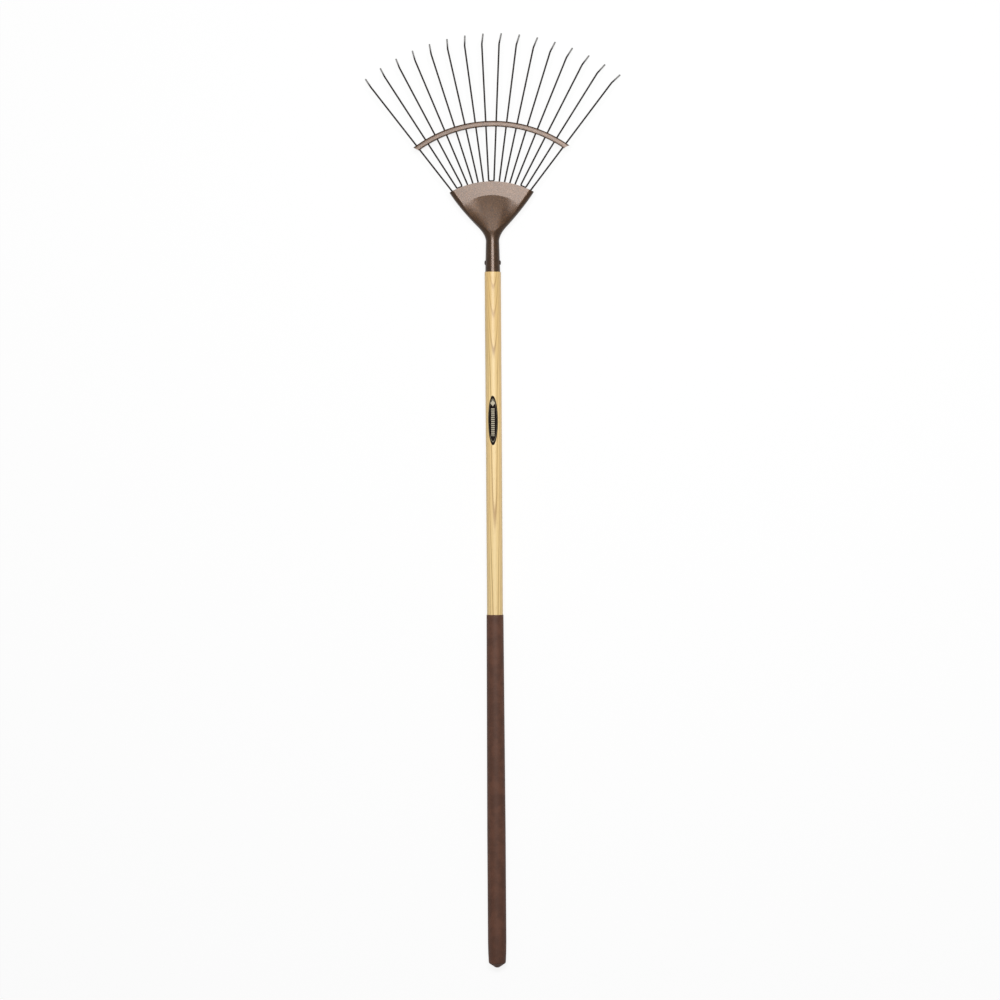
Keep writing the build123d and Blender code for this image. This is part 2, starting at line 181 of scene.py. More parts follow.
def smoothstep(low, high, value):
    """0 below low, 1 above high, and 3t^2 - 2t^3 between."""
    t = np.clip((value - low) / (high - low), 0, 1)
    return t * t * (3 - 2 * t)


def grid_faces(rows, columns, closed):
    """Quads over a grid whose points are numbered row by row; closed joins the last column to the
    first."""
    index = np.arange(rows * columns).reshape(rows, columns)
    if closed:
        index = np.concatenate([index, index[:, :1]], axis=1)
    corners = [index[:-1, :-1], index[:-1, 1:], index[1:, 1:], index[1:, :-1]]
    return np.stack(corners, axis=-1).reshape(-1, 4)


def solid(name, points, faces, material, sharp=40.0):
    """A closed mesh object. The volume that its faces enclose goes with the sum of each triangle's
    corner dotted with the cross product of the other two; where it is negative, the faces point
    inwards and all are turned. Edges that bend by more than sharp, in degrees, stay crisp."""
    volume = 0.0
    for face in faces:
        a = points[face[:, 0]]
        for b, c in zip(range(1, face.shape[1] - 1), range(2, face.shape[1])):
            volume += np.einsum("ij,ij->", a, np.cross(points[face[:, b]], points[face[:, c]]))
    if volume < 0:
        faces = [face[:, ::-1] for face in faces]
    mesh = bpy.data.meshes.new(name)
    mesh.from_pydata(points.tolist(), [], [corner for face in faces for corner in face.tolist()])
    mesh.polygons.foreach_set("use_smooth", np.ones(len(mesh.polygons), bool))
    mesh.set_sharp_from_angle(angle=np.radians(sharp))
    mesh.materials.append(material)
    piece = bpy.data.objects.new(name, mesh)
    bpy.context.scene.collection.objects.link(piece)
    return piece


def tube(name, rings, material, sharp=40.0):
    """A closed mesh over rings of points, each end closed by a fan to the middle of its ring."""
    rows, columns, _ = rings.shape
    points = np.concatenate([rings.reshape(-1, 3), rings[:1].mean(axis=1), rings[-1:].mean(axis=1)])
    around = np.arange(columns)
    nearby = np.roll(around, -1)
    first = np.full(columns, rows * columns)
    last = first + 1
    offset = (rows - 1) * columns
    start = np.stack([nearby, around, first], axis=1)
    end = np.stack([offset + around, offset + nearby, last], axis=1)
    return solid(name, points, [grid_faces(rows, columns, True), start, end], material, sharp)


def rounded(corners, bends, steps=10):
    """A path of straight runs joined by arcs. At a corner that turns by an angle from direction d to
    another, the arc is p - d r tan(angle/2) + r (sin t d + (1 - cos t) n), where n is square to d,
    towards the new direction."""
    corners = np.asarray(corners, float)
    pieces = [corners[:1]]
    for before, corner, after, bend in zip(corners, corners[1:], corners[2:], bends):
        incoming = (corner - before) / np.linalg.norm(corner - before)
        outgoing = (after - corner) / np.linalg.norm(after - corner)
        turn = np.arccos(np.clip(incoming @ outgoing, -1, 1))
        inward = outgoing - (outgoing @ incoming) * incoming
        inward /= np.linalg.norm(inward)
        t = np.linspace(0, turn, steps)[:, None]
        start = corner - incoming * bend * np.tan(turn / 2)
        pieces.append(start + bend * (np.sin(t) * incoming + (1 - np.cos(t)) * inward))
    pieces.append(corners[-1:])
    return np.concatenate(pieces)


def directions(path):
    """Unit tangents of a path: at each point, the sum of the unit runs before and after it."""
    runs = np.diff(path, axis=0)
    runs /= np.linalg.norm(runs, axis=1)[:, None]
    sums = np.concatenate([runs[:1], runs[:-1] + runs[1:], runs[-1:]])
    return sums / np.linalg.norm(sums, axis=1)[:, None]


def turned(profile, segments=96):
    """Rings round the shaft line: a profile point (radius, y) at angle a goes to
    (radius cos a, y, AXIS_Z + radius sin a)."""
    radius, along = np.asarray(profile, float).T
    angle = np.linspace(0, 2 * np.pi, segments, endpoint=False)
    x = radius[:, None] * np.cos(angle)
    z = AXIS_Z + radius[:, None] * np.sin(angle)
    y = np.repeat(along[:, None], segments, axis=1)
    return np.stack([x, y, z], axis=-1)


def finish_piece(piece, node, body):
    """Say which node a piece takes the place of, and the body that it rides on."""
    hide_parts(node)
    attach(piece, body)
    return piece


# ---- shader maths -------------------------------------------------------------------------------

DISPLAY_GAMMA = 2.2


class Value:
    """A number that varies over a surface: an output socket, with the operators used on it."""

    def __init__(self, nodes, socket):
        self.nodes = nodes
        self.socket = socket

    def maths(self, operation, *operands):
        inputs = dict(enumerate(operands))
        return self.nodes.node("ShaderNodeMath", {"operation": operation}, inputs)

    def __add__(self, other):
        return self.maths("ADD", self, other)

    def __radd__(self, other):
        return self.maths("ADD", other, self)

    def __sub__(self, other):
        return self.maths("SUBTRACT", self, other)

    def __rsub__(self, other):
        return self.maths("SUBTRACT", other, self)

    def __mul__(self, other):
        return self.maths("MULTIPLY", self, other)

    def __rmul__(self, other):
        return self.maths("MULTIPLY", other, self)

    def __truediv__(self, other):
        return self.maths("DIVIDE", self, other)

    def absolute(self):
        return self.maths("ABSOLUTE", self)

    def fraction(self):
        return self.maths("FRACT", self)

    def root(self):
        return self.maths("SQRT", self)

    def most(self, other):
        return self.maths("MAXIMUM", self, other)

    def between(self, low, high):
        """0 at low, 1 at high, smooth between."""
        return self.nodes.node("ShaderNodeMapRange", {"interpolation_type": "SMOOTHSTEP"},
                               {"Value": self, "From Min": low, "From Max": high})

    def band(self, centre, half, soft):
        """1 within half of centre, fading to 0 over soft."""
        return 1 - (self - centre).absolute().between(half, half + soft)


class Nodes:
    """The nodes of a material or a world."""

    def __init__(self, owner):
        owner.use_nodes = True
        self.tree = owner.node_tree

    def node(self, kind, settings=None, inputs=None, out=0):
        """Any node: its type, its settings, the values or links of its sockets, and its output."""
        node = self.tree.nodes.new(kind)
        for name, value in (settings or {}).items():
            setattr(node, name, value)
        for key, value in (inputs or {}).items():
            if isinstance(value, Value):
                self.tree.links.new(value.socket, node.inputs[key])
            else:
                node.inputs[key].default_value = value
        return Value(self, node.outputs[out])

    def ray(self, kind):
        """1 for a ray of one kind, such as Is Camera Ray, and 0 for others."""
        return self.node("ShaderNodeLightPath", out=kind)


class Finish(Nodes):
    """A material with one Principled shader, whose place on a piece is read in Object coordinates."""

    def __init__(self, name, **settings):
        self.material = bpy.data.materials.new(name)
        super().__init__(self.material)
        self.shader = self.tree.nodes["Principled BSDF"]
        for socket, value in settings.items():
            self.shader.inputs[socket.replace("_", " ")].default_value = value
        self.place = self.node("ShaderNodeTexCoord", out="Object")
        axes = self.node("ShaderNodeSeparateXYZ", inputs={"Vector": self.place}).socket.node.outputs
        self.x, self.y, self.z = [Value(self, output) for output in axes]

    def point(self, x, y, z):
        return self.node("ShaderNodeCombineXYZ", inputs={0: x, 1: y, 2: z})

    def noise(self, point, scale, detail=3.0, roughness=0.55):
        """Noise from 0 to 1 with this many cells to a metre, or fewer along a squeezed direction."""
        return self.node("ShaderNodeTexNoise", {"normalize": True},
                         {"Vector": point, "Scale": scale, "Detail": detail, "Roughness": roughness})

    def mix(self, share, first, second):
        """Colour between first and second; 6, 7 and 2 are the Mix node's colour sockets."""
        inputs = {0: share, 6: self.colour(first), 7: self.colour(second)}
        return self.node("ShaderNodeMix", {"data_type": "RGBA"}, inputs, out=2)

    def colour(self, value):
        return value if isinstance(value, Value) else (*value, 1.0)

    def bump(self, height, distance, strength=1.0):
        inputs = {"Height": height, "Distance": distance, "Strength": strength}
        return self.node("ShaderNodeBump", inputs=inputs)

    def feed(self, **sockets):
        for name, value in sockets.items():
            self.tree.links.new(value.socket, self.shader.inputs[name.replace("_", " ")])
        return self.material


def linear(red, green, blue):
    """Scene-linear colour of a display colour given in 0 to 255."""
    return tuple(float(c) for c in (np.array([red, green, blue]) / 255) ** DISPLAY_GAMMA)


# ---- finishes -----------------------------------------------------------------------------------


GROWTH_RING = 0.0024          # thickness of one ring
RING_PHASE = 0.58             # shifts all rings by a part of one
RING_TILT = 0.16              # the rings' slope across the pole
RINGS_CROSSED = [             # from one distance behind the socket's mouth to another, this many rings
    (-0.10, 0.17, 4.2), (0.12, 0.22, 0.25), (0.30, 0.62, 1.3),
]
WAVER = 0.0034                # how far rings stray from their place, over short stretches
LONG_WAVER = 0.002            # and over long ones


def make_ash():
    """Lacquered ash. A growth ring lies level under the crown of the pole and sinks slowly towards the
    head, so it cuts the round surface in nested V shapes that point to the butt near the head, and
    in long lines further down."""
    ash = Finish("ash_wood", Coat_Weight=0.2, Coat_Roughness=0.3)
    waver = ash.noise(ash.point(ash.x * 14, ash.y * 3.0, ash.z * 14), 1.0, 2.0) - 0.5
    slow = ash.noise(ash.point(3.1, ash.y * 5.5, 0.7), 1.0, 1.0) - 0.5
    from_head = MOUTH_Y - ash.y
    crossed = sum(from_head.between(low, high) * rings for low, high, rings in RINGS_CROSSED)
    below_crown = ash.z - (AXIS_Z + SHAFT_HEAD_RADIUS) + ash.x * RING_TILT
    strayed = below_crown + waver * WAVER + slow * LONG_WAVER
    ring = (strayed / GROWTH_RING - crossed + RING_PHASE).fraction()
    late = ring.between(0.62, 0.88) * (1 - ring.between(0.88, 1.0))
    fibre = ash.noise(ash.point(ash.x * 900, ash.y * 16, ash.z * 900), 1.0, 3.0, 0.6)
    pores = ash.noise(ash.point(ash.x * 2600, ash.y * 70, ash.z * 2600), 1.0, 2.0, 0.5)
    pore = pores.between(0.60, 0.72) * (1 - late)
    tone = ash.noise(ash.point(ash.x * 40, ash.y * 4, ash.z * 40), 1.0, 2.0)
    near_head, far_off = linear(204, 175, 114), linear(228, 200, 141)
    late_wood, warm, fibre_brown, pore_brown = [
        linear(146, 110, 56), linear(228, 188, 124), linear(198, 160, 104), linear(150, 108, 62)]
    base = ash.mix(from_head.between(0.0, 0.26), near_head, far_off)
    base = ash.mix(late * 0.9, base, late_wood)
    base = ash.mix(tone.between(0.35, 0.7) * 0.5, base, warm)
    base = ash.mix((fibre - 0.35) * 0.45, base, fibre_brown)
    base = ash.mix(pore * 0.4, base, pore_brown)
    height = fibre * 0.5 - pore * 0.6 - late * 0.15
    return ash.feed(Base_Color=base, Roughness=0.36 + fibre * 0.16,
                    Normal=ash.bump(height, 0.00012, 0.5))


def make_sleeve_plastic():
    """Brown sleeve: matt plastic with a fine pebbled skin and slightly cloudy colour."""
    skin = Finish("grip_plastic", Specular_IOR_Level=0.3)
    cloud = skin.noise(skin.place, 55, 3.0)
    speck = skin.noise(skin.place, 1100, 2.0)
    pebble = skin.noise(skin.place, 1900, 3.0, 0.6)
    dark, light, dust = linear(71, 45, 33), linear(88, 57, 43), linear(108, 80, 66)
    base = skin.mix(cloud.between(0.35, 0.7), dark, light)
    base = skin.mix(speck.between(0.55, 0.75) * 0.35, base, dust)
    return skin.feed(Base_Color=base, Roughness=0.48 + pebble * 0.2,
                     Normal=skin.bump(pebble, 0.00015, 0.6))


def make_bronze_coat():
    """Dark bronze stove enamel with metal flake under a gloss coat: fine hammered relief and lighter
    flakes."""
    coat = Finish("bronze_coat", Metallic=0.55, Coat_Weight=0.78, Coat_Roughness=0.25, Coat_IOR=1.4,
                  Specular_IOR_Level=0.0)
    flake = coat.noise(coat.place, 1500, 2.0, 0.6)
    hammer = coat.noise(coat.place, 420, 3.0, 0.5)
    cloud = coat.noise(coat.place, 60, 2.0)
    dark, light = linear(43, 27, 6), linear(62, 40, 14)
    flake_metal, stain = linear(142, 114, 98), linear(48, 30, 7)
    base = coat.mix(hammer.between(0.3, 0.7), dark, light)
    base = coat.mix(flake.between(0.56, 0.74) * 0.4, base, flake_metal)
    base = coat.mix(cloud.between(0.35, 0.75) * 0.3, base, stain)
    return coat.feed(Base_Color=base, Roughness=0.30 + hammer * 0.10,
                     Normal=coat.bump(hammer * 0.7 + flake * 0.3, 0.00015, 0.5))


def make_spring_wire():
    """Dark drawn wire with fine lengthwise marks, and a painted highlight over the hooked tip that
    stands in for the light the bent-down wire reflects.
    """
    wire = Finish("spring_wire", Metallic=0.4, Specular_IOR_Level=0.2)
    mark = wire.noise(wire.place, 500, 3.0)
    # painted highlight: below the tines' straight, the hooked tips are made pale steel to stand for the
    # light that they reflect; noise frays its upper edge
    tip_highlight_waver = wire.noise(wire.place, 160, 2.0)
    tip_highlight_height = wire.z + tip_highlight_waver * 0.006
    painted_tip_highlight = 1 - tip_highlight_height.between(TINE_Z - 0.014, TINE_Z + 0.001)
    dark, light, painted_highlight_steel = linear(30, 27, 25), linear(44, 40, 38), linear(150, 148, 146)
    base = wire.mix(mark.between(0.3, 0.7), dark, light)
    # the painted highlight over the hooked tips
    base = wire.mix(painted_tip_highlight * 0.85, base, painted_highlight_steel)
    return wire.feed(Base_Color=base, Roughness=0.50 - painted_tip_highlight * 0.1 + mark * 0.1,
                     Normal=wire.bump(mark, 0.00006, 0.5))


def make_rivet_coat():
    """Dull black-brown paint, thinner in rubbed spots."""
    coat = Finish("rivet_black", Metallic=0.5)
    wear = coat.noise(coat.place, 900, 3.0)
    paint, rubbed = linear(46, 34, 28), linear(82, 66, 56)
    base = coat.mix(wear.between(0.4, 0.75), paint, rubbed)
    return coat.feed(Base_Color=base, Roughness=0.34 + wear * 0.2,
                     Normal=coat.bump(wear, 0.00008, 0.5))


KEYLINE = 0.86                # where the keyline runs, from the middle of the oval to its edge
STEM_HALF_WIDTH = 0.33        # half width of the bars, in half widths of the label
BAR_PITCH = 0.0034
BARS_MIDDLE, BARS_HALF_LENGTH = -0.06, 0.56      # in half lengths of the label
LOZENGE_MIDDLE, LOZENGE_HALF_WIDTH, LOZENGE_HALF_LENGTH = 0.70, 0.52, 0.135


def make_label_film():
    """Black oval film with a plain keyline, a plain ladder of pale bars and a plain lozenge; no
    lettering. A lozenge is |x| / a + |y| / b below 1."""
    film = Finish("label_film", Specular_IOR_Level=0.06)
    across = film.x / LABEL_HALF_WIDTH
    down = (film.y - LABEL_Y) / LABEL_HALF_LENGTH
    oval = (across * across + down * down).root()
    keyline = oval.band(KEYLINE, 0.012, 0.012)
    stem = across.absolute().band(0.0, STEM_HALF_WIDTH, 0.03)
    ladder = ((film.y - LABEL_Y) / BAR_PITCH).fraction().band(0.5, 0.27, 0.05)
    bars = stem * ladder * down.band(BARS_MIDDLE, BARS_HALF_LENGTH, 0.02)
    from_middle = (down - LOZENGE_MIDDLE).absolute() / LOZENGE_HALF_LENGTH
    lozenge = 1 - (across.absolute() / LOZENGE_HALF_WIDTH + from_middle).between(0.9, 1.0)
    print_share = (keyline * 0.35).most(bars * 0.76).most(lozenge * 0.85)
    grain = film.noise(film.place, 1500, 2.0)
    black, ink = linear(18, 11, 6), linear(200, 190, 166)
    base = film.mix(print_share, black, ink)
    return film.feed(Base_Color=base, Roughness=0.42 + grain * 0.15,
                     Normal=film.bump(grain, 0.00003, 0.4))


ASH = make_ash()
SLEEVE_PLASTIC = make_sleeve_plastic()
BRONZE_COAT = make_bronze_coat()
SPRING_WIRE = make_spring_wire()
RIVET_COAT = make_rivet_coat()
LABEL_FILM = make_label_film()


# ---- handle -------------------------------------------------------------------------------------


def flat_path(points, bends):
    """Rounded path of (radius, y) points."""
    lifted = [(radius, along, 0.0) for radius, along in points]
    return rounded(lifted, bends)[:, :2]


def spaced(profile, gap):
    """The same profile with points added so that none are further apart than gap."""
    runs = np.linalg.norm(np.diff(profile, axis=0), axis=1)
    distance = np.concatenate([[0], np.cumsum(runs)])
    extra = np.arange(0, distance[-1], gap)
    wanted = np.unique(np.round(np.concatenate([distance, extra]), 6))
    return np.stack([np.interp(wanted, distance, profile[:, k]) for k in range(2)], axis=1)


def butt_outline(inset):
    """Coned butt, straight grip and taper, inset from the sleeve's outside. The k-th point of the nose
    stays at least k times the least radius from the shaft line."""
    nose = [(max(radius - inset, LEAST_RADIUS * k), BUTT_Y + along + inset)
            for k, (radius, along) in enumerate(NOSE_OUTLINE, 1)]
    grip = [
        (GRIP_RADIUS - inset, BUTT_Y + NOSE_LENGTH),
        (GRIP_RADIUS - inset, BUTT_Y + GRIP_STRAIGHT),
        (SLEEVE_TOP_RADIUS - inset, SLEEVE_TOP_Y),
    ]
    return flat_path(nose + grip, NOSE_BENDS + GRIP_BENDS)


def socket_radius(y):
    """Outside radius of the socket cone: it changes evenly from mouth to neck."""
    return SOCKET_MOUTH_RADIUS + (NECK_RADIUS - SOCKET_MOUTH_RADIUS) * (y - MOUTH_Y) / SOCKET_LENGTH


def shaft_radius(y):
    """Radius of the bare wood between sleeve and socket."""
    share = (y - SLEEVE_TOP_Y) / (MOUTH_Y - SLEEVE_TOP_Y)
    return SHAFT_SLEEVE_RADIUS + (SHAFT_HEAD_RADIUS - SHAFT_SLEEVE_RADIUS) * share


def make_shaft():
    """Wood from the butt to the end of its tenon, with a small round where it meets the socket."""
    butt = butt_outline(SLEEVE_WALL)
    fit = SHEET + TENON_CLEARANCE
    head_end = [
        butt[-1],
        (SHAFT_HEAD_RADIUS, MOUTH_Y - SHOULDER_GAP),
        (socket_radius(MOUTH_Y) - fit, MOUTH_Y),
        (socket_radius(TENON_END_Y) - fit, TENON_END_Y),
        (LEAST_RADIUS, TENON_END_Y),
    ]
    tenon = flat_path(head_end, [SHOULDER_ROUND, TENON_ROOT_ROUND, TENON_END_ROUND])
    profile = spaced(np.concatenate([butt, tenon[1:]]), RING_GAP)
    piece = tube("shaft_wood", turned(profile), ASH, sharp=50.0)
    return finish_piece(piece, "ash_shaft", HANDLE)


def make_sleeve():
    """Skin from the butt up to a softly rounded edge, and back down its inside."""
    outer = butt_outline(0.0)
    inner = butt_outline(SLEEVE_WALL)[::-1]
    edge = SLEEVE_WALL * RIM_ROUND
    rim = flat_path([outer[-2], outer[-1], inner[0], inner[1]], [edge, edge])
    profile = spaced(np.concatenate([outer[:-1], rim[1:-1], inner[1:]]), RING_GAP)
    piece = tube("sleeve_skin", turned(profile), SLEEVE_PLASTIC, sharp=60.0)
    return finish_piece(piece, "grip_sleeve", HANDLE)


def make_label():
    """Film on the crown of the pole: x = a p cos q and y = b p sin q, p from 0 to 1 and q all the way
    round; z follows the wood's circle at that y, raised by the height of the film's face."""
    share = np.linspace(0.0, 1.0, LABEL_RINGS)[:, None]
    angle = np.linspace(0, 2 * np.pi, LABEL_SIDES, endpoint=False)
    x = LABEL_HALF_WIDTH * share * np.cos(angle)
    y = LABEL_Y + LABEL_HALF_LENGTH * share * np.sin(angle)

    def lifted(height):
        return AXIS_Z + np.sqrt((shaft_radius(y) + height) ** 2 - x ** 2)

    top = np.stack([x, y, lifted(LABEL_TOP)], axis=-1)[1:]
    under = np.stack([x, y, lifted(LABEL_UNDERSIDE)], axis=-1)[:0:-1]
    piece = tube("label_film", np.concatenate([top, under]), LABEL_FILM, sharp=50.0)
    return finish_piece(piece, "handle_label", HANDLE)


def make_rivet():
    """Turned about X: a shank, and at each end a dome whose skirt sits on the round socket. At an
    angle t from its pole a dome has the radius r sin t and stands h cos t proud of its seat."""
    seat = socket_radius(RIVET_Y)
    turn = np.linspace(RIVET_DOME_START, np.pi / 2, RIVET_DOME_RINGS)
    dome_radius = RIVET_RADIUS * np.sin(turn)
    dome_out = seat + RIVET_HEAD_HEIGHT * np.cos(turn)
    skirt_radius = np.array([RIVET_RADIUS, RIVET_RADIUS * RIVET_SHANK])
    skirt_out = np.full(2, seat - RIVET_SINK)
    half_radius = np.concatenate([dome_radius, skirt_radius])
    half_out = np.concatenate([dome_out, skirt_out])
    radius = np.concatenate([half_radius, half_radius[::-1]])
    out = np.concatenate([half_out, -half_out[::-1]])
    angle = np.linspace(0, 2 * np.pi, RIVET_SIDES, endpoint=False)
    y = RIVET_Y + radius[:, None] * np.cos(angle)
    z = AXIS_Z + radius[:, None] * np.sin(angle)
    x = np.repeat(out[:, None], RIVET_SIDES, axis=1)
    piece = tube("rivet_round", np.stack([x, y, z], axis=-1), RIVET_COAT, sharp=50.0)
    return finish_piece(piece, "socket_rivet", HANDLE)


# ---- head ---------------------------------------------------------------------------------------


def half_width(reach):
    """The socket's radius up to the neck, a parabola over the neck's curve, then the head's side,
    w + s p - c p^2 at p past the place where it leaves that curve."""
    past = reach - SIDE_REACH
    side = SIDE_HALF_WIDTH + SIDE_SLOPE * past - SIDE_CURVE * past ** 2
    over = np.clip(side - NECK_RADIUS, -NECK_BLEND, None)
    curve = NECK_RADIUS + (over + NECK_BLEND) ** 2 / (4 * NECK_BLEND)
    spread = np.where(over < NECK_BLEND, curve, side)
    return np.where(reach <= NECK_REACH, socket_radius(FAN_Y + reach), spread)


def crown_height(x, reach):
    """Height of the sheet before its sides turn down. The band is level up to the crease. Behind it
    the dish falls with the distance s from the crease: crisply in the middle, by a s + b tanh(s/l),
    and softly near the sides, by c (s - m (1 - e^(-s/m))), c on the left differing from c on the
    right. Near the neck it turns into the socket's top."""
    s = np.maximum(CREASE_RADIUS - np.hypot(x, reach), 0)
    turn = np.arctan2(np.abs(x), np.maximum(reach, 1e-6))
    middle = DISH_FALL * s + DISH_STEP * np.tanh(s / DISH_STEP_RUN)
    rightness = smoothstep(-SKEW_HALF_WIDTH, SKEW_HALF_WIDTH, x)
    side_fall = SIDE_FALL_LEFT + (SIDE_FALL_RIGHT - SIDE_FALL_LEFT) * rightness
    side = side_fall * (s - SIDE_START * (1 - np.exp(-s / SIDE_START)))
    share = smoothstep(*SIDE_TURN, turn) * (1 - smoothstep(*SIDE_FADE, s))
    dish = BAND_TOP_Z - middle - (side - middle) * share
    socket_top = AXIS_Z + half_width(np.minimum(reach, NECK_REACH))
    return socket_top + (dish - socket_top) * smoothstep(*SOCKET_TO_DISH, reach)


def slice_point(reach, share):
    """Point of the slice at a reach. From the middle, q runs out to both edges of the sheet. Up to
    the widest point x = w sin(t), and the sheet drops by (b - c) (1 - (1 - u^n)^(1/n)) + c v^2. Here
    u grows from 0 to 1 over the turned-down width and v from the level middle to the widest point, c
    is the gentle fall that only the funnel has, and n = 2, a quarter of an ellipse, beside the band,
    and less on the funnel. From the widest point the sheet curls under by a quarter circle."""
    q = np.abs(2 * share - 1)
    width = half_width(reach)
    neck = np.minimum(width, socket_radius(FAN_Y + np.minimum(reach, NECK_REACH)))
    flat = np.clip((reach - NECK_REACH) / (BAND_LEVEL_REACH - NECK_REACH), 0, 1)
    drop = neck + (FLANGE_DROP - neck) * flat
    curl = neck + (EDGE_HEIGHT - FLANGE_DROP - neck) * flat
    out = width * np.sin(np.pi / 2 * np.clip(q / TOP_SHARE, 0, 1))
    shoulder = SHOULDER_DROP * smoothstep(*SHOULDER_START, reach)
    shoulder = shoulder * (1 - smoothstep(*SHOULDER_FADE, reach))
    funnel = smoothstep(*FUNNEL_START, reach)
    beside_band = smoothstep(*BESIDE_BAND, reach)
    flange = FLANGE_WIDTH * (FLANGE_SHARE + FLANGE_GAIN * beside_band)
    turned_down = width + (flange - width) * funnel
    power = 2 - FLANGE_SHARPNESS * funnel * (1 - beside_band)
    u = np.clip((out - width + turned_down) / turned_down, 0, 1)
    v = np.clip((out / width - SHOULDER_FLAT) / (1 - SHOULDER_FLAT), 0, 1)
    fall = (drop - shoulder) * (1 - (1 - u ** power) ** (1 / power)) + shoulder * v ** 2
    roll = np.pi / 2 * np.clip((q - TOP_SHARE) / (1 - TOP_SHARE), 0, 1)
    x = np.sign(share - 0.5) * (out - curl * (1 - np.cos(roll)))
    return x, crown_height(x, reach) - fall - curl * np.sin(roll)


def make_head():
    """One sheet, its outside found slice by slice. Each row crosses the shaft line at a value v and is
    an arc of curvature k: straight over the socket, about the fan centre at the crease, and flatter
    at the lip. The reach of each point is found by halving: it lies past the row where
    k (x^2 + (reach - v)^2) + 2 (reach - v) is positive."""
    columns = HEAD_COLUMNS
    share = np.linspace(SEAM, 1 - SEAM, columns)[None, :]
    mouth = -(SOCKET_LENGTH - NECK_REACH)
    stops = [mouth, 0.0, CREASE_RADIUS - CREASE_BEFORE, CREASE_RADIUS + CREASE_AFTER, LIP_REACH]
    rows = [np.linspace(start, end, count, endpoint=False)
            for start, end, count in zip(stops, stops[1:], HEAD_ROWS)]
    v = np.concatenate(rows + [[LIP_REACH]])[:, None]
    k = smoothstep(*ROW_BEND, v) / CREASE_RADIUS
    past_crease = np.clip((v - CREASE_RADIUS) / (LIP_REACH - CREASE_RADIUS), 0, 1)
    k += past_crease * (1 / LIP_ARC - 1 / CREASE_RADIUS)
    low = np.full((len(v), columns), mouth - 1e-6)
    high = np.full_like(low, LONGEST_REACH * LIP_REACH)
    for _ in range(HALVINGS):
        reach = (low + high) / 2
        x, _ = slice_point(reach, share)
        over = k * (x ** 2 + (reach - v) ** 2) + 2 * (reach - v) > 0
        high = np.where(over, reach, high)
        low = np.where(over, low, reach)
    x, z = slice_point(reach, share)
    outside = np.stack([x, FAN_Y + reach, z], axis=-1)

    along = np.gradient(outside, axis=0)
    around = np.gradient(outside, axis=1)
    normal = np.cross(around, along)
    normal /= np.linalg.norm(normal, axis=-1, keepdims=True)
    on_socket = (HEAD_ROWS[0] // 2, columns // 2)
    outward = outside[on_socket] - np.array([0, outside[on_socket][1], AXIS_Z])
    if normal[on_socket] @ outward < 0:
        normal = -normal
    inside = outside - normal * SHEET

    points = np.concatenate([outside.reshape(-1, 3), inside.reshape(-1, 3)])
    count = len(v) * columns
    index = np.arange(count).reshape(len(v), columns)
    rim = np.concatenate([index[0, :-1], index[:-1, -1], index[-1, :0:-1], index[:0:-1, 0]])
    ahead = np.roll(rim, -1)
    sheet_faces = grid_faces(len(v), columns, False)
    rim_faces = np.stack([ahead, rim, rim + count, ahead + count], axis=1)
    faces = [sheet_faces, sheet_faces[:, ::-1] + count, rim_faces]
    piece = solid("head_sheet", points, faces, BRONZE_COAT, sharp=45.0)
    return finish_piece(piece, "head_pressing", HANDLE)


# ---- tines --------------------------------------------------------------------------------------


def tine_angle(index):
    """Angle of a tine from the shaft line, the first being the one furthest left."""
    return -FAN_HALF_ANGLE + 2 * FAN_HALF_ANGLE * (index - 1) / (TINE_COUNT - 1)


def spoke(radius, height, angle):
    """Point at a radius from the fan centre, on the line of a tine, at a height over its straight."""
    return (radius * np.sin(angle), FAN_Y + radius * np.cos(angle), TINE_Z + height)


def arc_distance(angle, reach, radius):
    """Distance from the fan centre, in a tine's direction, to an arc that crosses the shaft line at a
    reach and has its own centre on that line."""
    behind = radius - reach
    return np.sqrt(radius ** 2 - (behind * np.sin(angle)) ** 2) - behind * np.cos(angle)


def make_wire(name, corners, bends, reference):
    """Rings of the wire's radius along its path, each square to the path, turned from a reference
    direction; the last stretch at each end is rounded off."""
    path = rounded(corners, bends)
    near = directions(path)
    lip = WIRE_RADIUS * WIRE_END_LENGTH
    first = [path[:1], path[:1] + near[:1] * lip]
    last = [path[-1:] - near[-1:] * lip, path[-1:]]
    path = np.concatenate(first + [path[1:-1]] + last)
    near = directions(path)
    radius = np.full(len(path), WIRE_RADIUS)
    radius[[0, -1]] = WIRE_RADIUS * WIRE_END_RADIUS
    side = reference - (near @ reference)[:, None] * near
    side /= np.linalg.norm(side, axis=1)[:, None]
    other = np.cross(near, side)
    angle = np.linspace(0, 2 * np.pi, WIRE_SIDES, endpoint=False)[None, :, None]
    ring = np.cos(angle) * side[:, None] + np.sin(angle) * other[:, None]
    return tube(name, path[:, None] + radius[:, None, None] * ring, SPRING_WIRE, sharp=50.0)


def tip_end(angle):
    """End of a hooked tip: a straight run from the elbow, down by the tip's angle."""
    return spoke(ELBOW_RADIUS + TIP_LENGTH * np.cos(TIP_ANGLE), -TIP_LENGTH * np.sin(TIP_ANGLE), angle)


def make_single_tine(index):
    """A wire from its root, up through the back plate, out along its spoke and down its tip."""
    angle = tine_angle(index)
    corners = [
        spoke(ROOT_RADIUS, -ROOT_DROP, angle),
        spoke(ROOT_RADIUS, 0, angle),
        spoke(ELBOW_RADIUS, 0, angle),
        tip_end(angle),
    ]
    across = np.array([np.cos(angle), -np.sin(angle), 0])
    piece = make_wire(f"wire_{index:02d}", corners, [ROOT_BEND, TIP_BEND], across)
    return finish_piece(piece, f"tine_{index:02d}", ROW)


